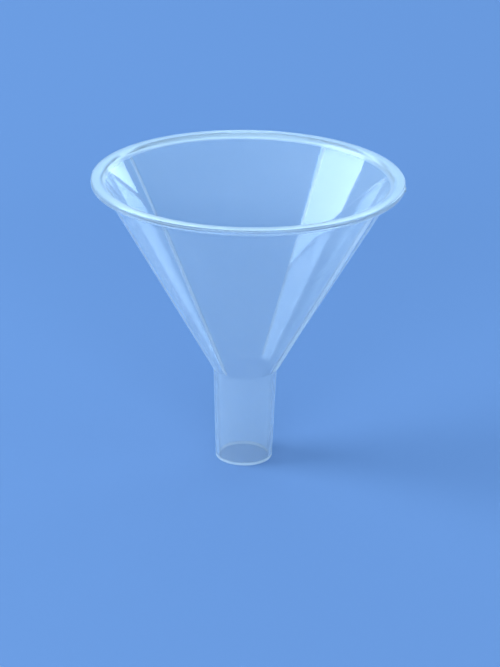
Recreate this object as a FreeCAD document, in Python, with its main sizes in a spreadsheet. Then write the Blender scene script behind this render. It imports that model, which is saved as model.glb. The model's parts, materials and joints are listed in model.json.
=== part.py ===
import FreeCAD, Part
import Sketcher
import os

# A powder funnel, injection-moulded in one shot from natural polypropylene: a flat ring-shaped rim,
# a straight 60 degree cone with four slim ribs along its outside, and a short, wide, slightly
# tapered stem. The moulding is drawn here as the regions that a drawing of it would name, which
# meet face to face.
#
# Frame: +Z points up along the funnel's axis, from the stem's open end to the rim. The origin is
# the centre of the stem's end face, which is what the funnel stands on. -Y is the front.
# All sizes are in millimetres, and angles are in degrees, turned from +X towards +Y.

DIMENSIONS = [
    ("rim_radius", 50.0, "outside of the rim"),
    ("rim_thickness", 2.0, "height of the rim's edge"),
    ("rim_edge_round", 0.5, "round on both outer corners of the rim"),
    ("mouth_round", 1.6, "round from the rim's top face into the cone"),
    ("funnel_height", 97.0, "stem end to the rim's top face"),
    ("rim_overhang", 3.4, "how far the rim stands out from the cone's outside"),
    ("cone_wall", 1.1, "wall of the cone, square to its surface"),
    ("stem_length", 31.3, "stem end to the start of the cone, on the outside"),
    ("stem_end_radius", 9.3, "outside of the stem at its open end"),
    ("stem_widening", 1.05, "how much the stem's radius grows from its end to the cone"),
    ("stem_wall", 1.1, "wall of the stem"),
    ("stem_end_round", 0.25, "round on the outer corner of the stem's end"),
    ("throat_collar", 2.5, "height of stem that is drawn with the cone"),
    ("throat_round", 1.5, "round between stem and cone, outside and inside"),
    ("rib_height", 1.0, "how far a rib stands out from the cone, measured level"),
    ("rib_thickness", 0.6, "thickness of a rib"),
    ("rib_foot_rise", 0.8, "start of a rib above the start of the cone"),
    ("rib_foot_lead", 1.5, "height over which a rib's foot reaches its full height"),
    ("rib_turn", -123.3, "direction of the front left rib"),
    ("gate_stand", 0.35, "how far the trimmed gate stands out from the rim"),
    ("gate_width", 2.4, "width of the trimmed gate along the rim"),
    ("gate_turn", -8.0, "direction of the trimmed gate"),
]

RIB_NAMES = ["rib_front_left", "rib_front_right", "rib_back_right", "rib_back_left"]
FULL_TURN = 360.0
RIB_STEP = FULL_TURN / len(RIB_NAMES)
UP = FreeCAD.Vector(0, 0, 1)

document = FreeCAD.newDocument("powder_funnel")


# ---- the driving dimensions -------------------------------------------------------------------

def make_sheet():
    """Write every driving dimension to the spreadsheet, with its name as the cell's alias."""
    sheet = document.addObject("Spreadsheet::Sheet", "dims")
    for row, (name, value, note) in enumerate(DIMENSIONS, start=1):
        sheet.set(f"A{row}", name)
        sheet.set(f"B{row}", str(value))
        sheet.set(f"C{row}", note)
        sheet.setAlias(f"B{row}", name)
    document.recompute()
    return sheet


sheet = make_sheet()

# Heights and radii that follow from the driving dimensions, as expressions on the sheet.
CONE_RIM_RADIUS = "(dims.rim_radius - dims.rim_overhang)"
STEM_ROOT_RADIUS = "(dims.stem_end_radius + dims.stem_widening)"
RIM_UNDERSIDE = "(dims.funnel_height - dims.rim_thickness)"
CONE_RISE = f"({RIM_UNDERSIDE} - dims.stem_length)"
CONE_RUN = f"({CONE_RIM_RADIUS} - {STEM_ROOT_RADIUS})"
CONE_SLOPE = f"({CONE_RUN} / {CONE_RISE})"
STEM_SLOPE = "(dims.stem_widening / dims.stem_length)"
# The cone's wall measured level, which is thicker than the wall measured square to it.
CONE_WALL_LEVEL = f"(dims.cone_wall * sqrt(1 + {CONE_SLOPE} * {CONE_SLOPE}))"
COLLAR_BOTTOM = "(dims.stem_length - dims.throat_collar)"
COLLAR_RADIUS = f"(dims.stem_end_radius + {STEM_SLOPE} * {COLLAR_BOTTOM})"
# Inside, the bore and the cone meet a little above or below where they meet on the outside.
THROAT_RISE = f"(({CONE_WALL_LEVEL} - dims.stem_wall) / ({CONE_SLOPE} - {STEM_SLOPE}))"
THROAT_HEIGHT = f"(dims.stem_length + {THROAT_RISE})"
THROAT_RADIUS = f"({STEM_ROOT_RADIUS} - dims.stem_wall + {STEM_SLOPE} * {THROAT_RISE})"
RIB_FOOT = "(dims.stem_length + dims.rib_foot_rise)"
RIB_FOOT_RADIUS = f"({STEM_ROOT_RADIUS} + {CONE_SLOPE} * dims.rib_foot_rise)"
RIB_LEAD_RADIUS = f"({RIB_FOOT_RADIUS} + {CONE_SLOPE} * dims.rib_foot_lead + dims.rib_height)"
# A rib is drawn half a wall deep into the cone, and the cone's outside trims it.
RIB_SINK = "(dims.cone_wall / 2)"


def value_of(expression):
    """Give the present value of an expression on the sheet."""
    return float(sheet.evalExpression(expression))


# ---- helpers ----------------------------------------------------------------------------------

def new_body(label):
    body = document.addObject("PartDesign::Body", label)
    body.Label = label
    return body


def origin_plane(body, role):
    for feature in body.Origin.OriginFeatures:
        if feature.Role == role:
            return feature
    raise ValueError(f"{body.Label} has no {role}")


def draw_outline(body, name, corners):
    """Draw a closed outline on the body's XZ plane, through corners given as expressions."""
    sketch = body.newObject("Sketcher::SketchObject", name)
    sketch.AttachmentSupport = [(origin_plane(body, "XZ_Plane"), "")]
    sketch.MapMode = "FlatFace"
    points = [FreeCAD.Vector(value_of(radius), value_of(height), 0) for radius, height in corners]
    count = len(points)
    for index in range(count):
        sketch.addGeometry(Part.LineSegment(points[index], points[(index + 1) % count]), False)
    for index in range(count):
        following = (index + 1) % count
        sketch.addConstraint(Sketcher.Constraint("Coincident", index, 2, following, 1))
    origin = -1
    for index, (radius, height) in enumerate(corners):
        across = sketch.addConstraint(
            Sketcher.Constraint("DistanceX", origin, 1, index, 1, points[index].x))
        sketch.setExpression(f"Constraints[{across}]", radius)
        up = sketch.addConstraint(
            Sketcher.Constraint("DistanceY", origin, 1, index, 1, points[index].y))
        sketch.setExpression(f"Constraints[{up}]", height)
    document.recompute()
    return sketch


def revolve(body, sketch):
    """Turn an outline right round the axis."""
    ring = body.newObject("PartDesign::Revolution", f"{body.Label}_turned")
    ring.Profile = sketch
    ring.ReferenceAxis = (sketch, ["V_Axis"])
    ring.Angle = FULL_TURN
    sketch.Visibility = False
    document.recompute()
    return ring


def edge_names(shape, radius, height):
    """Name the round edges at a radius and height, both given as expressions."""
    near = 1e-4
    found = []
    for number, edge in enumerate(shape.Edges, start=1):
        if not isinstance(edge.Curve, Part.Circle):
            continue
        same_radius = abs(edge.Curve.Radius - value_of(radius)) < near
        same_height = abs(edge.Curve.Center.z - value_of(height)) < near
        if same_radius and same_height:
            found.append(f"Edge{number}")
    if not found:
        raise ValueError(f"no round edge at radius {radius} and height {height}")
    return found


def round_edges(body, name, places, size):
    """Round the circular edges at each (radius, height) of the body's last feature."""
    base = body.Tip
    names = []
    for radius, height in places:
        names += edge_names(base.Shape, radius, height)
    fillet = body.newObject("PartDesign::Fillet", name)
    fillet.Base = (base, names)
    fillet.setExpression("Radius", size)
    document.recompute()
    return fillet


# ---- the regions of the moulding --------------------------------------------------------------

def make_stem():
    """The short wide spout: a thin tube that tapers towards its open end."""
    body = new_body("stem")
    sketch = draw_outline(body, "stem_outline", [
        ("dims.stem_end_radius - dims.stem_wall", "0"),
        ("dims.stem_end_radius", "0"),
        (COLLAR_RADIUS, COLLAR_BOTTOM),
        (f"{COLLAR_RADIUS} - dims.stem_wall", COLLAR_BOTTOM),
    ])
    revolve(body, sketch)
    round_edges(body, "stem_end_rounding", [("dims.stem_end_radius", "0")], "dims.stem_end_round")
    return body


def make_cone_wall():
    """The straight cone, with the collar at its throat that runs down into the stem."""
    body = new_body("cone_wall")
    sketch = draw_outline(body, "cone_outline", [
        (COLLAR_RADIUS, COLLAR_BOTTOM),
        (STEM_ROOT_RADIUS, "dims.stem_length"),
        (CONE_RIM_RADIUS, RIM_UNDERSIDE),
        (f"{CONE_RIM_RADIUS} - {CONE_WALL_LEVEL}", RIM_UNDERSIDE),
        (THROAT_RADIUS, THROAT_HEIGHT),
        (f"{COLLAR_RADIUS} - dims.stem_wall", COLLAR_BOTTOM),
    ])
    revolve(body, sketch)
    corners = [(STEM_ROOT_RADIUS, "dims.stem_length"), (THROAT_RADIUS, THROAT_HEIGHT)]
    round_edges(body, "throat_rounding", corners, "dims.throat_round")
    return body


def make_rim():
    """The flat ring that stiffens the mouth, with a rounded edge."""
    body = new_body("rim_flange")
    inside = f"({CONE_RIM_RADIUS} - {CONE_WALL_LEVEL})"
    mouth = f"({inside} + {CONE_SLOPE} * dims.rim_thickness)"
    sketch = draw_outline(body, "rim_outline", [
        (inside, RIM_UNDERSIDE),
        ("dims.rim_radius", RIM_UNDERSIDE),
        ("dims.rim_radius", "dims.funnel_height"),
        (mouth, "dims.funnel_height"),
    ])
    revolve(body, sketch)
    outer_corners = [("dims.rim_radius", RIM_UNDERSIDE), ("dims.rim_radius", "dims.funnel_height")]
    round_edges(body, "rim_edge_rounding", outer_corners, "dims.rim_edge_round")
    round_edges(body, "mouth_rounding", [(mouth, "dims.funnel_height")], "dims.mouth_round")
    return body


def make_cone_form():
    """The cone's outside as a full solid, which trims the ribs to the cone's surface."""
    form = document.addObject("Part::Cone", "cone_form")
    form.setExpression("Radius1", STEM_ROOT_RADIUS)
    form.setExpression("Radius2", CONE_RIM_RADIUS)
    form.setExpression("Height", CONE_RISE)
    form.setExpression("Placement.Base.z", "dims.stem_length")
    return form


def trim(label, blank, form, turn):
    """Cut a blank back to a form, and turn what is left about the axis to its direction."""
    piece = document.addObject("Part::Cut", label)
    piece.Label = label
    piece.Base = blank
    piece.Tool = form
    piece.Placement = FreeCAD.Placement(FreeCAD.Vector(), FreeCAD.Rotation(UP, value_of(turn)))
    piece.setExpression("Placement.Rotation.Angle", turn)
    return piece


def make_rib(label, number, cone_form):
    """One slim rib along the cone, from just above the throat to the underside of the rim."""
    plate = new_body(f"{label}_plate")
    sketch = draw_outline(plate, f"{label}_outline", [
        (f"{RIB_FOOT_RADIUS} - {RIB_SINK}", RIB_FOOT),
        (RIB_FOOT_RADIUS, RIB_FOOT),
        (RIB_LEAD_RADIUS, f"{RIB_FOOT} + dims.rib_foot_lead"),
        (f"{CONE_RIM_RADIUS} + dims.rib_height", RIM_UNDERSIDE),
        (f"{CONE_RIM_RADIUS} - {RIB_SINK}", RIM_UNDERSIDE),
    ])
    pad = plate.newObject("PartDesign::Pad", f"{label}_pad")
    pad.Profile = sketch
    pad.Midplane = True
    pad.setExpression("Length", "dims.rib_thickness")
    sketch.Visibility = False
    return trim(label, plate, cone_form, f"dims.rib_turn + {number * RIB_STEP}")


def make_gate():
    """What is left of the gate that fed the mould, trimmed off just proud of the rim."""
    block = document.addObject("Part::Box", "gate_block")
    block.setExpression("Length", "dims.gate_stand + dims.rim_edge_round")
    block.setExpression("Width", "dims.gate_width")
    # The gate is as tall as the upright part of the rim's edge, between its two rounds.
    block.setExpression("Height", "dims.rim_thickness - 2 * dims.rim_edge_round")
    block.setExpression("Placement.Base.x", "dims.rim_radius - dims.rim_edge_round")
    block.setExpression("Placement.Base.y", "-dims.gate_width / 2")
    block.setExpression("Placement.Base.z", f"{RIM_UNDERSIDE} + dims.rim_edge_round")
    rim_form = document.addObject("Part::Cylinder", "rim_form")
    rim_form.setExpression("Radius", "dims.rim_radius")
    rim_form.setExpression("Height", "dims.funnel_height")
    return trim("gate_mark", block, rim_form, "dims.gate_turn")


def check_document():
    for item in document.Objects:
        if "Invalid" in item.State or "Error" in item.State:
            raise RuntimeError(f"{item.Label} failed: {item.State}")


def check_part(part):
    shape = part.Shape
    if shape.isNull() or not shape.isValid() or len(shape.Solids) != 1:
        raise RuntimeError(f"{part.Label} isn't one valid solid")
    box = shape.BoundBox
    print(f"{part.Label}: {shape.Volume:.1f} mm3, z {box.ZMin:.2f} to {box.ZMax:.2f}")


parts = [make_stem(), make_cone_wall(), make_rim()]
cone_form = make_cone_form()
for number, label in enumerate(RIB_NAMES):
    parts.append(make_rib(label, number, cone_form))
parts.append(make_gate())

document.recompute()
check_document()
for part in parts:
    check_part(part)

os.makedirs("parts", exist_ok=True)
for part in parts:
    part.Shape.exportStep(os.path.join("parts", f"{part.Label}.step"))
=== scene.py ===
import json
import math

import bmesh
import bpy
from mathutils import Matrix, Vector

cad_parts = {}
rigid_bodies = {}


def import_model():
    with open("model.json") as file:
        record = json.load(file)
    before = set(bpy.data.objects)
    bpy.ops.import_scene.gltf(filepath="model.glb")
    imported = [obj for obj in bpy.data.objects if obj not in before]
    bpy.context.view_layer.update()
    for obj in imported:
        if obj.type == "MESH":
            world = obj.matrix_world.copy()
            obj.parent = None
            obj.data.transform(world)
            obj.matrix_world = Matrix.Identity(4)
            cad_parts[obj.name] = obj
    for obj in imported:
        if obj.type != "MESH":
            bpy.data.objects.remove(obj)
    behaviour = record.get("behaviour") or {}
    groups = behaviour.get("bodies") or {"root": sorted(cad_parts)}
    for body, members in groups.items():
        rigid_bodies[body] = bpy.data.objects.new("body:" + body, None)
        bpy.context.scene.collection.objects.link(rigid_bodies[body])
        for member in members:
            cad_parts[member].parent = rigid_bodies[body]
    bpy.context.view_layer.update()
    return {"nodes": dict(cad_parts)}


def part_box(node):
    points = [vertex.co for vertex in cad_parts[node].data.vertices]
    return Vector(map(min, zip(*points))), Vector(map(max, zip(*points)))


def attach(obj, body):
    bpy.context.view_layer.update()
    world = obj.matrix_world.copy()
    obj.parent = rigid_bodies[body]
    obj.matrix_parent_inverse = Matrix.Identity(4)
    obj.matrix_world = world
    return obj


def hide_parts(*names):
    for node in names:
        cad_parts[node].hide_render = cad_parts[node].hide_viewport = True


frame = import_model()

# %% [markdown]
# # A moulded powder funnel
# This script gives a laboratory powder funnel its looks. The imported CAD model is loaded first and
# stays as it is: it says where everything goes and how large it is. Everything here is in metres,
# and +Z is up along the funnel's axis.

MM = 0.001

# %% [markdown]
# ## What the funnel is
# The real funnel is one piece of natural polypropylene, which means polypropylene with no pigment
# in it. The CAD model divides it into regions that touch face to face. If those regions were drawn
# as they are, light would cross a pair of surfaces at every joint, and each joint would show as a
# line inside the plastic. So one closed skin is made here that stands for all of them, and its
# sizes are measured from the CAD nodes.

# %% Measuring the CAD nodes
NEAR = 0.01 * MM


def radii_at(node, height):
    """The smallest and largest distance from the axis of a node's corners at one height."""
    corners = [v.co for v in frame["nodes"][node].data.vertices if abs(v.co.z - height) < NEAR]
    distances = [math.hypot(corner.x, corner.y) for corner in corners]
    return min(distances), max(distances)


rim_low, rim_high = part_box("rim_flange")
stem_low, stem_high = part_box("stem")

RIM_RADIUS = rim_high.x
FUNNEL_TOP = rim_high.z
RIM_UNDERSIDE = rim_low.z
CONE_INSIDE, CONE_OUTSIDE = radii_at("cone_wall", RIM_UNDERSIDE)
COLLAR_HEIGHT = stem_high.z
COLLAR_INSIDE, COLLAR_OUTSIDE = radii_at("stem", COLLAR_HEIGHT)
BORE_AT_END, _ = radii_at("stem", stem_low.z)
STEM_WALL = COLLAR_OUTSIDE - COLLAR_INSIDE
print("rim radius, cone outside and inside at the rim, bore at the end, in mm:",
      [round(size / MM, 2) for size in (RIM_RADIUS, CONE_OUTSIDE, CONE_INSIDE, BORE_AT_END)])

# %% [markdown]
# ## The outline of the wall
# Seen in section, the funnel is a thin closed outline: up the outside of the stem and the cone,
# round the rim, and back down the inside. A lathe-like shape could be made by bending a tube, or by
# thickening a surface. Spinning the section is closest to how the mould was turned, and it gives
# every wall its true thickness. The radii of the rounds and the length of the stem can't be
# measured from the nodes' boxes, so they are repeated from the drawing.

# %% Sizes from the drawing
STEM_LENGTH = 31.3 * MM
RIM_EDGE_ROUND = 0.5 * MM
MOUTH_ROUND = 1.6 * MM
THROAT_ROUND = 1.5 * MM
STEM_END_ROUND = 0.25 * MM
print("stem length in mm:", round(STEM_LENGTH / MM, 2))

# %% Sizes for the looks only
# The drawing leaves these two edges sharp. The ring is only where the stem's end gets the milkiest
# plastic, which paints a bright highlight ring at its foot, and the outline is as straight there as
# anywhere else on the stem.
UNDER_RIM_ROUND = 0.4 * MM
BORE_END_ROUND = 0.15 * MM
END_RING = 0.9 * MM
print("height of the end ring in mm:", round(END_RING / MM, 2))

# %% Sizes that follow
# The cone's wall is measured level, as a section shows it. That is more than its true thickness and
# more than the stem's wall, so the corner inside the throat is a little above the one outside.
STEM_DRAFT = (COLLAR_INSIDE - BORE_AT_END) / COLLAR_HEIGHT
STEM_ROOT = BORE_AT_END + STEM_WALL + STEM_DRAFT * STEM_LENGTH
CONE_SLOPE = (CONE_OUTSIDE - STEM_ROOT) / (RIM_UNDERSIDE - STEM_LENGTH)
CONE_WALL_LEVEL = CONE_OUTSIDE - CONE_INSIDE
THROAT_RISE = (CONE_WALL_LEVEL - STEM_WALL) / (CONE_SLOPE - STEM_DRAFT)
print("half of the cone's angle in degrees:", round(math.degrees(math.atan(CONE_SLOPE)), 2))
print("rise of the corner inside the throat in mm:", round(THROAT_RISE / MM, 2))

# %% Corners of the section
# Each corner has its distance from the axis, its height, and the radius that rounds it. The corners
# with no radius are only points on a side: two at the top of the end ring, and one on the inside of
# the cone, level with the rim's underside.
SECTION = [
    (BORE_AT_END, 0.0, BORE_END_ROUND),
    (BORE_AT_END + STEM_WALL, 0.0, STEM_END_ROUND),
    (BORE_AT_END + STEM_WALL + STEM_DRAFT * END_RING, END_RING, 0.0),
    (STEM_ROOT, STEM_LENGTH, THROAT_ROUND),
    (CONE_OUTSIDE, RIM_UNDERSIDE, UNDER_RIM_ROUND),
    (RIM_RADIUS, RIM_UNDERSIDE, RIM_EDGE_ROUND),
    (RIM_RADIUS, FUNNEL_TOP, RIM_EDGE_ROUND),
    (CONE_INSIDE + CONE_SLOPE * (FUNNEL_TOP - RIM_UNDERSIDE), FUNNEL_TOP, MOUTH_ROUND),
    (CONE_INSIDE, RIM_UNDERSIDE, 0.0),
    (STEM_ROOT - STEM_WALL + STEM_DRAFT * THROAT_RISE, STEM_LENGTH + THROAT_RISE, THROAT_ROUND),
    (BORE_AT_END + STEM_DRAFT * END_RING, END_RING, 0.0),
]
print("corners:", len(SECTION), "rounded:", sum(radius > 0 for _, _, radius in SECTION))

# %% [markdown]
# ## Rounding the corners of the section
# Moulded corners are never sharp, and on clear plastic the rounds catch most of the light, so they
# are worth real geometry. They could be bevelled after the spin, but then every ring of edges has
# to be found again. A bevel on the corner points of the section rounds each by its own radius.
# Bevel wants the length that it takes off each side, which follows from the radius and from how far
# the outline turns there.

# %% Building the section
ROUND_STEPS = 6
LONG_EDGE = 4 * MM


def turn_at(before, here, after):
    """How far the outline turns at a corner, in radians."""
    return (here - before).angle(after - here)


def rounded_section():
    """The funnel's section on the XZ plane, with rounded corners and its long sides divided."""
    outline = bmesh.new()
    corners = [outline.verts.new((radius, 0, height)) for radius, height, _ in SECTION]
    count = len(corners)
    for index in range(count):
        outline.edges.new((corners[index], corners[(index + 1) % count]))
    cuts = []
    for index, (_, _, radius) in enumerate(SECTION):
        before, after = corners[index - 1].co, corners[(index + 1) % count].co
        if radius > 0:
            turn = turn_at(before, corners[index].co, after)
            cuts.append((corners[index], radius * math.tan(turn / 2)))
    for corner, cut in cuts:
        bmesh.ops.bevel(outline, geom=[corner], offset=cut, offset_type="OFFSET",
                        affect="VERTICES", segments=ROUND_STEPS, profile=0.5, material=-1)
    for edge in list(outline.edges):
        pieces = int(edge.calc_length() / LONG_EDGE)
        if pieces > 0:
            bmesh.ops.subdivide_edges(outline, edges=[edge], cuts=pieces)
    return outline


section = rounded_section()
print("points in the section:", len(section.verts))

# %% [markdown]
# ## Spinning the wall
# One full turn of the section makes the whole body, as the real mould was turned on a lathe. A
# Screw modifier could do the same, but the operator leaves a plain mesh that the ribs can be joined
# to. The spin merges its last ring with its first, and the faces are then turned to point outwards,
# because a spin can leave them inside out.

# %% Spinning
TURN_STEPS = 240
MERGE = 0.001 * MM


def finish_normals(shape):
    """Merge the points that lie in one place, and turn every face to point outwards."""
    bmesh.ops.remove_doubles(shape, verts=shape.verts, dist=MERGE)
    bmesh.ops.recalc_face_normals(shape, faces=shape.faces)


bmesh.ops.spin(section, geom=section.verts[:] + section.edges[:], cent=(0, 0, 0), axis=(0, 0, 1),
               angle=math.tau, steps=TURN_STEPS, use_merge=True)
finish_normals(section)
print("faces in the turned body:", len(section.faces))


# %% Storing a shape
def to_object(shape, name):
    """Store a bmesh as a new object at the origin."""
    mesh = bpy.data.meshes.new(name)
    shape.to_mesh(mesh)
    shape.free()
    thing = bpy.data.objects.new(name, mesh)
    bpy.context.scene.collection.objects.link(thing)
    return thing


funnel = to_object(section, "funnel_moulding")
print(funnel.name, "size in mm:", [round(size / MM, 2) for size in funnel.dimensions])

# %% [markdown]
# ## The ribs
# Four slim ribs run down the outside of the cone. They stiffen the thin wall, and they let air out
# of a bottle when the cone sits in its neck. They could be raised out of the spun wall face by
# face, but that ties their width to the steps of the spin. A separate flat blade keeps its true
# size: its outline is drawn once on the XZ plane, made as thick as a rib, and turned to its
# direction. Its tip is rounded, as a cutter leaves it in the mould. The blade starts inside the
# wall, so that a union can join the two.

# %% Sizes of a rib
# The height, thickness, foot and turns are the drawing's. The tip's round is for the looks only.
rib_low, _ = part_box("rib_front_left")
RIB_FOOT = rib_low.z
RIB_FOOT_LEAD = 1.5 * MM
RIB_HEIGHT = 1.0 * MM
RIB_THICKNESS = 0.6 * MM
RIB_TIP_ROUND = 0.22 * MM
RIB_TIP_STEPS = 4
RIB_SINK = 0.5 * STEM_WALL
RIB_TURNS = {
    "rib_front_left": -123.3,
    "rib_front_right": -33.3,
    "rib_back_right": 56.7,
    "rib_back_left": 146.7,
}


def cone_radius(height):
    """How far the outside of the cone is from the axis at one height."""
    return STEM_ROOT + CONE_SLOPE * (height - STEM_LENGTH)


print("length of a rib in mm:", round(math.hypot(
    RIM_UNDERSIDE - RIB_FOOT, cone_radius(RIM_UNDERSIDE) - cone_radius(RIB_FOOT)) / MM, 2))


# %% One blade
def is_tip(edge, outline):
    """True for the long edges at a blade's tip and at the end of its foot."""
    first, second = (vert.co for vert in edge.verts)
    if abs(first.y - second.y) > NEAR:
        return False
    places = [Vector((radius, 0, height)) for radius, height in outline[1:4]]
    ends = [min((place - Vector((co.x, 0, co.z))).length for place in places)
            for co in (first, second)]
    return max(ends) < NEAR


def make_rib(name, turn):
    """One blade along the cone, from its foot to the underside of the rim."""
    lead = RIB_FOOT + RIB_FOOT_LEAD
    into_rim = RIM_UNDERSIDE + RIB_SINK
    outline = [
        (cone_radius(RIB_FOOT) - RIB_SINK, RIB_FOOT),
        (cone_radius(RIB_FOOT), RIB_FOOT),
        (cone_radius(lead) + RIB_HEIGHT, lead),
        (cone_radius(RIM_UNDERSIDE) + RIB_HEIGHT, RIM_UNDERSIDE),
        (cone_radius(RIM_UNDERSIDE) + RIB_HEIGHT, into_rim),
        (cone_radius(RIM_UNDERSIDE) - RIB_SINK, into_rim),
    ]
    blade = bmesh.new()
    for radius, height in outline:
        blade.verts.new((radius, -RIB_THICKNESS / 2, height))
    bmesh.ops.contextual_create(blade, geom=blade.verts[:])
    grown = bmesh.ops.extrude_face_region(blade, geom=blade.faces[:])
    moved = [item for item in grown["geom"] if isinstance(item, bmesh.types.BMVert)]
    bmesh.ops.translate(blade, verts=moved, vec=(0, RIB_THICKNESS, 0))
    finish_normals(blade)
    tip = [edge for edge in blade.edges if is_tip(edge, outline)]
    bmesh.ops.bevel(blade, geom=tip, offset=RIB_TIP_ROUND, offset_type="OFFSET",
                    affect="EDGES", segments=RIB_TIP_STEPS, profile=0.5, material=-1)
    bmesh.ops.rotate(blade, verts=blade.verts, cent=(0, 0, 0),
                     matrix=Matrix.Rotation(math.radians(turn), 3, "Z"))
    return to_object(blade, name)


blades = [make_rib(f"{name}_blade", turn) for name, turn in RIB_TURNS.items()]
print("blades:", len(blades))

# %% [markdown]
# ## The trimmed gate
# Molten plastic entered the mould through a small gate at the rim's edge. The sprue is cut off
# after moulding, and the cut leaves a small block that stands just proud of the edge. A rough patch
# in the finish would be less work, but it wouldn't show in the rim's outline, and the real block
# does. So it is a small box with its edges taken off, as tall as the CAD node.

# %% The gate mark
# The turn, the width and the stand are the drawing's. The round is for the looks only.
GATE_TURN = -8.0
GATE_WIDTH = 2.4 * MM
GATE_STAND = 0.35 * MM
GATE_EDGE_ROUND = 0.1 * MM
GATE_EDGE_STEPS = 2
gate_low, gate_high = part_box("gate_mark")


def make_gate():
    """A small rounded block that starts inside the rim."""
    height = gate_high.z - gate_low.z
    depth = GATE_STAND + RIM_EDGE_ROUND
    block = bmesh.new()
    bmesh.ops.create_cube(block, size=1)
    bmesh.ops.scale(block, verts=block.verts, vec=(depth, GATE_WIDTH, height))
    middle = Vector((RIM_RADIUS + GATE_STAND - depth / 2, 0, (gate_low.z + gate_high.z) / 2))
    bmesh.ops.translate(block, verts=block.verts, vec=middle)
    bmesh.ops.bevel(block, geom=block.edges[:], offset=GATE_EDGE_ROUND, offset_type="OFFSET",
                    affect="EDGES", segments=GATE_EDGE_STEPS, profile=0.5, material=-1)
    bmesh.ops.rotate(block, verts=block.verts, cent=(0, 0, 0),
                     matrix=Matrix.Rotation(math.radians(GATE_TURN), 3, "Z"))
    return to_object(block, "gate_block")


gate = make_gate()
print("gate height in mm:", round((gate_high.z - gate_low.z) / MM, 2))

# %% [markdown]
# ## Joining them into one skin
# The real ribs and gate are one piece with the wall. Clear plastic shows every inner surface, so
# parts that only overlap would look wrong. A union leaves one closed skin. The result is stored as
# a plain mesh, and the parts that went into it are deleted. The union works on many threads at
# once, so it lists its points and faces in a new order on every run. They are put in an order that
# depends only on where they are, so that every run gives the same mesh.

# %% Putting a mesh in order
def in_order(mesh):
    """A copy of a mesh whose points and faces are listed by where they are."""
    order = sorted(range(len(mesh.vertices)), key=lambda index: tuple(mesh.vertices[index].co))
    new_index = {old: new for new, old in enumerate(order)}
    faces = []
    for polygon in mesh.polygons:
        corners = [new_index[index] for index in polygon.vertices]
        first = corners.index(min(corners))
        faces.append(corners[first:] + corners[:first])
    ordered = bpy.data.meshes.new(mesh.name)
    ordered.from_pydata([mesh.vertices[index].co for index in order], [], sorted(faces))
    return ordered


# %% The union
def unite(body, additions):
    """Join other objects to a body, keep the result as the body's mesh, and delete the others."""
    for addition in additions:
        union = body.modifiers.new(f"join_{addition.name}", "BOOLEAN")
        union.operation = "UNION"
        union.solver = "EXACT"
        union.object = addition
    seen = body.evaluated_get(bpy.context.evaluated_depsgraph_get())
    joined = bpy.data.meshes.new_from_object(seen)
    body.modifiers.clear()
    plain = body.data
    body.data = in_order(joined)
    bpy.data.meshes.remove(plain)
    bpy.data.meshes.remove(joined)
    for addition in additions:
        bpy.data.objects.remove(addition)


def report_skin(thing):
    """Print whether a mesh is closed, and how many faces it has."""
    skin = bmesh.new()
    skin.from_mesh(thing.data)
    open_edges = sum(1 for edge in skin.edges if not edge.is_manifold)
    print(thing.name, "faces:", len(skin.faces), "open edges:", open_edges,
          "volume in mm3:", round(skin.calc_volume() / MM ** 3, 1))
    skin.free()


unite(funnel, blades + [gate])
report_skin(funnel)

# %% [markdown]
# ## Smooth and sharp
# The mould was polished, so the real wall is smooth all round. More steps in the spin would come
# closer to that, but smooth shading does it with the faces that are there. Only edges that turn by
# more than about 35 degrees, where a rib meets the wall, stay crisp. The union can leave slivers
# where it cut, and they are merged first, because they would shade badly.

# %% Shading
CRISP = math.radians(35)
SLIVER = 0.002 * MM


def shade(thing):
    """Merge slivers, then shade a mesh smooth except at its sharp edges."""
    skin = bmesh.new()
    skin.from_mesh(thing.data)
    bmesh.ops.remove_doubles(skin, verts=skin.verts, dist=SLIVER)
    bmesh.ops.dissolve_degenerate(skin, edges=skin.edges, dist=MERGE)
    for face in skin.faces:
        face.smooth = True
    for edge in skin.edges:
        edge.smooth = len(edge.link_faces) == 2 and edge.calc_face_angle() < CRISP
    skin.to_mesh(thing.data)
    skin.free()


shade(funnel)
report_skin(funnel)

# %% [markdown]
# ## Two helpers for materials
# A paint chart or a web page gives a colour in sRGB, and Blender's sockets want it in linear light.
# Typing linear values by hand hides which colour is meant, so colours are written in hex here and
# one function turns them over. The other helper adds a node and joins it up in one call, which
# keeps each material short enough to read.

# %% Colour and node helpers
def linear(hex_colour):
    """Turn an sRGB hex colour such as #EEF3F7 into the linear values that Blender uses."""
    channels = [int(hex_colour[start:start + 2], 16) / 255 for start in (1, 3, 5)]
    linear_channels = [value / 12.92 if value <= 0.04045 else ((value + 0.055) / 1.055) ** 2.4
                       for value in channels]
    return (*linear_channels, 1.0)


def add_node(tree, kind, settings=None, values=None, links=None):
    """Add a node. settings are its own properties, values fill its sockets by name or number, and
    links join its sockets to sockets of earlier nodes."""
    node = tree.nodes.new(kind)
    for name, value in (settings or {}).items():
        setattr(node, name, value)
    for socket, value in (values or {}).items():
        node.inputs[socket].default_value = value
    for socket, source in (links or {}).items():
        tree.links.new(source, node.inputs[socket])
    return node


print("linear value of mid grey #808080:", round(linear("#808080")[0], 3))

# %% [markdown]
# ## Injection-moulded natural polypropylene
# Natural polypropylene is clear with a milky haze: its crystals scatter a little of the light. A
# thin wall shows what is behind it and lifts it towards white, and a thick part hides more and
# glows. The haze could be a volume inside the skin, but that is slow and is lost in an export. Here
# part of the surface scatters instead. A weak sheen adds the pale line that haze gives a wall seen
# edge on. The index is 1.49, and the polished mould leaves a gloss a shade softer than glass, with
# faint clouds from the flow.

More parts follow.
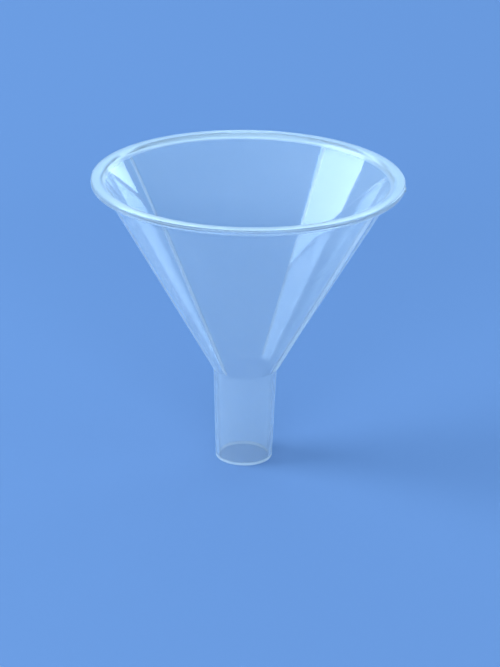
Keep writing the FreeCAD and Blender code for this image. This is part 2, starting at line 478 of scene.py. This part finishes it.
# %% The plastic
INDEX = 1.49
CLOUD_SIZE = 18 * MM
CLOUD_DETAIL = 3.0
CLOUD_ROUGHNESS = 0.5
CLOUD_LOW, CLOUD_HIGH = 0.3, 0.7
SHEEN = 0.5
SHEEN_ROUGHNESS = 0.35
CLOUD_DARK, CLOUD_LIGHT = "#F8FBFE", "#FDFEFF"
print("index:", INDEX, "size of the clouds in mm:", round(CLOUD_SIZE / MM, 1))


def natural_polypropylene(name, clear, smoothest, roughest):
    """Milky clear plastic. It gives the eye soft, unbroken highlights over a wall that is seen
    through. clear is how much of the light goes straight through its surface."""
    material = bpy.data.materials.new(name)
    material.use_nodes = True
    tree = material.node_tree
    tree.nodes.clear()
    place = add_node(tree, "ShaderNodeTexCoord")
    cloud = add_node(tree, "ShaderNodeTexNoise",
                     values={"Scale": 1 / CLOUD_SIZE, "Detail": CLOUD_DETAIL,
                             "Roughness": CLOUD_ROUGHNESS},
                     links={"Vector": place.outputs["Object"]})
    gloss = add_node(tree, "ShaderNodeMapRange",
                     values={"From Min": CLOUD_LOW, "From Max": CLOUD_HIGH,
                             "To Min": smoothest, "To Max": roughest},
                     links={"Value": cloud.outputs["Fac"]})
    tint = add_node(tree, "ShaderNodeMix", {"data_type": "RGBA"},
                    values={"A": linear(CLOUD_DARK), "B": linear(CLOUD_LIGHT)},
                    links={"Factor": cloud.outputs["Fac"]})
    skin = add_node(tree, "ShaderNodeBsdfPrincipled",
                    values={"IOR": INDEX, "Transmission Weight": clear, "Sheen Weight": SHEEN,
                            "Sheen Roughness": SHEEN_ROUGHNESS},
                    links={"Base Color": tint.outputs["Result"],
                           "Roughness": gloss.outputs["Result"]})
    add_node(tree, "ShaderNodeOutputMaterial", links={"Surface": skin.outputs["BSDF"]})
    return material


# %% [markdown]
# ## Thin and thick, and painted highlights
# One plastic looks different where it is thin and where it is thick. The walls are the clearest,
# and the rim, which is thick, is milkier. Its top face is set a little milkier than its outer face,
# which paints the top brighter. The ribs and the ring round the stem's end, which are looked at
# edge on, are the milkiest, and part of that is painted: it puts in the bright highlight lines that
# light draws along them. Two objects with a material each would leave a surface between them inside
# the plastic. So one closed skin gets the plastic at four strengths, face by face.

# %% How clear each part is
# For each strength: how much light goes straight through, and the range of the gloss's roughness.
THIN, EDGE_ON_PAINTED_HIGHLIGHT, RIM_TOP, RIM_EDGE = range(4)
STRENGTHS = {
    "moulded_natural_polypropylene_thin_wall": (0.85, 0.035, 0.060),
    # Ribs and end ring: the extra milkiness paints bright highlight lines along them.
    "moulded_natural_polypropylene_thick_edge": (0.55, 0.07, 0.12),
    # Rim top: a little milkier than the rim's outer face, which paints the top brighter.
    "moulded_natural_polypropylene_rim_top": (0.70, 0.07, 0.12),
    "moulded_natural_polypropylene_rim_edge": (0.74, 0.07, 0.12),
}
RIB_CLEARANCE = 0.05 * MM

funnel.data.materials.clear()
for name, (clear, smoothest, roughest) in STRENGTHS.items():
    funnel.data.materials.append(natural_polypropylene(name, clear, smoothest, roughest))


def part_at(middle):
    """Which strength a face gets, from where its middle is."""
    out = math.hypot(middle.x, middle.y)
    if middle.z > RIM_UNDERSIDE + NEAR:
        # The rim's top is a little milkier than its outer face, which paints the top brighter.
        return RIM_EDGE if out > RIM_RADIUS - RIM_EDGE_ROUND / 2 else RIM_TOP
    on_rib = (STEM_LENGTH < middle.z < RIM_UNDERSIDE - NEAR
              and out > cone_radius(middle.z) + RIB_CLEARANCE)
    # The ribs and the end ring get the milkiest plastic, which paints bright highlight lines on
    # them.
    return EDGE_ON_PAINTED_HIGHLIGHT if on_rib or middle.z < END_RING else THIN


for polygon in funnel.data.polygons:
    polygon.material_index = part_at(polygon.center)
for index, name in enumerate(STRENGTHS):
    count = sum(polygon.material_index == index for polygon in funnel.data.polygons)
    print(name, "faces:", count)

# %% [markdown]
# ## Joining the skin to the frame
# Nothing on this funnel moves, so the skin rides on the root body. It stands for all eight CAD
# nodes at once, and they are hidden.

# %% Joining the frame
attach(funnel, "root")
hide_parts(*sorted(frame["nodes"]))
print("CAD nodes that the skin stands for:", len(frame["nodes"]))

# %% [markdown]
# ## The floor
# The funnel stands on a plain board, pale and a little blue, so that clear plastic has something to
# stand out from. A glossy board would mirror the lights in bright patches beside the funnel. This
# one is painted fully matt, and it gives the eye one even field with a soft shadow on it. It lies a
# hair below the stem's end, because two surfaces in one place would flicker.

# %% The floor board
FLOOR_REACH = 6.0
FLOOR_DROP = 0.05 * MM
FLOOR_COLOUR = "#859EC7"
FLOOR_ROUGHNESS = 0.8


def make_floor():
    """A large square board with matt paint on it, just under the funnel."""
    plane = bmesh.new()
    bmesh.ops.create_grid(plane, x_segments=1, y_segments=1, size=FLOOR_REACH)
    floor = to_object(plane, "floor")
    floor.location.z = -FLOOR_DROP
    material = bpy.data.materials.new("matt_painted_board")
    material.use_nodes = True
    shader = material.node_tree.nodes["Principled BSDF"]
    shader.inputs["Base Color"].default_value = linear(FLOOR_COLOUR)
    shader.inputs["Roughness"].default_value = FLOOR_ROUGHNESS
    shader.inputs["Specular IOR Level"].default_value = 0.0
    floor.data.materials.append(material)
    return floor


floor = make_floor()
print("floor size in m:", [round(size, 2) for size in floor.dimensions])

# %% [markdown]
# ## The lights
# Clear plastic has little colour of its own: it is seen by what it reflects. So the lights are
# placed for their reflections. Each is a large soft panel, well away from the funnel, and each
# gives the cone or the rim one clean band. Small or bare lamps would give hard white dots instead.
# All are the same cool white, and none shows itself to the camera.

# %% The softboxes
# For each: its name, its place, the point that it faces, its width and height, and its power in
# watts.
COOL = "#C8E7FF"
MIDDLE = Vector((0, 0, FUNNEL_TOP * 0.8))
SOFTBOXES = [
    ("left_softbox", (-1.87, 0.05, 0.94), (0, 0.05, 0.38), 1.50, 1.02, 36.0),
    ("back_right_softbox", (1.36, 1.42, 0.30), MIDDLE, 0.86, 0.67, 9.6),
    ("back_strip", (0.77, 1.89, 0.18), MIDDLE, 0.42, 0.42, 1.3),
    ("back_left_strip", (-1.39, 1.50, 0.13), MIDDLE, 0.14, 0.35, 0.33),
    ("back_softbox", (0.0, 1.92, 1.23), MIDDLE, 2.08, 1.02, 7.0),
    ("front_softbox", (0.0, -2.56, 1.01), MIDDLE, 3.20, 0.70, 52.0),
    ("right_softbox", (2.08, -0.48, 0.18), MIDDLE, 0.96, 0.38, 9.2),
]


def soft_light(name, place, target, width, height, power):
    """A rectangular soft light at a place, facing a target."""
    lamp = bpy.data.lights.new(name, "AREA")
    lamp.shape = "RECTANGLE"
    lamp.size = width
    lamp.size_y = height
    lamp.energy = power
    lamp.color = linear(COOL)[:3]
    holder = bpy.data.objects.new(name, lamp)
    holder.location = place
    direction = Vector(target) - Vector(place)
    holder.rotation_euler = direction.to_track_quat("-Z", "Y").to_euler()
    holder.visible_camera = False
    bpy.context.scene.collection.objects.link(holder)


for softbox in SOFTBOXES:
    soft_light(*softbox)
print("softboxes:", len(SOFTBOXES), "watts in all:", round(sum(row[-1] for row in SOFTBOXES), 1))

# %% [markdown]
# ## The room
# What the plastic bends into view at the edges of its walls is mostly the room. A dark room gives
# those edges a dark line, as on glass. Milky plastic has pale edges, so the room is bright and
# pale blue.

# %% The world
ROOM_COLOUR = "#A4D6FF"
ROOM_STRENGTH = 0.70

world = bpy.data.worlds.new("pale_room")
world.use_nodes = True
background = world.node_tree.nodes["Background"]
background.inputs["Color"].default_value = linear(ROOM_COLOUR)
background.inputs["Strength"].default_value = ROOM_STRENGTH
bpy.context.scene.world = world
print("world:", world.name)

# %% [markdown]
# ## The camera
# The view looks down on the funnel from the front, from far off with a long lens, so that the cone
# keeps its straight sides. A nearer camera with a wider lens would spread the rim and shrink the
# stem. The camera is held a degree off level, so the funnel leans a little.

# %% The camera
CAMERA_BACK = 14.75 * RIM_RADIUS
CAMERA_UP = 6.906 * RIM_RADIUS
LOOK_DOWN = 22.27
LOOK_RIGHT = 0.11
ROLL = 0.96
LENS = 175.9
SENSOR = 36.0


def make_camera():
    """A camera in front of the funnel and above it, which becomes the scene's own."""
    data = bpy.data.cameras.new("camera")
    data.sensor_fit = "HORIZONTAL"
    data.sensor_width = SENSOR
    data.lens = LENS
    camera = bpy.data.objects.new("camera", data)
    level = Matrix.Rotation(math.radians(90), 4, "X")
    turn = Matrix.Rotation(math.radians(-LOOK_RIGHT), 4, "Z")
    tip = Matrix.Rotation(math.radians(-LOOK_DOWN), 4, "X")
    lean = Matrix.Rotation(math.radians(ROLL), 4, "Z")
    place = Matrix.Translation((0, -CAMERA_BACK, CAMERA_UP))
    camera.matrix_world = place @ turn @ tip @ level @ lean
    bpy.context.scene.collection.objects.link(camera)
    bpy.context.scene.camera = camera


make_camera()
print("camera distance in m:", round(math.hypot(CAMERA_BACK, CAMERA_UP), 3))

# %% [markdown]
# ## Following light through the plastic
# Light that enters the rim can bounce round inside it many times before it comes out. With the
# usual few bounces it is cut off on the way, and the rim turns grey, so more are allowed. The plain
# view transform keeps the bright reflections white instead of rolling them off to grey.

# %% Bounces and view transform
BOUNCES = 32

bpy.context.scene.view_settings.view_transform = "Standard"
for limit in ("max_bounces", "glossy_bounces", "transmission_bounces"):
    setattr(bpy.context.scene.cycles, limit, BOUNCES)
print("bounces:", BOUNCES)
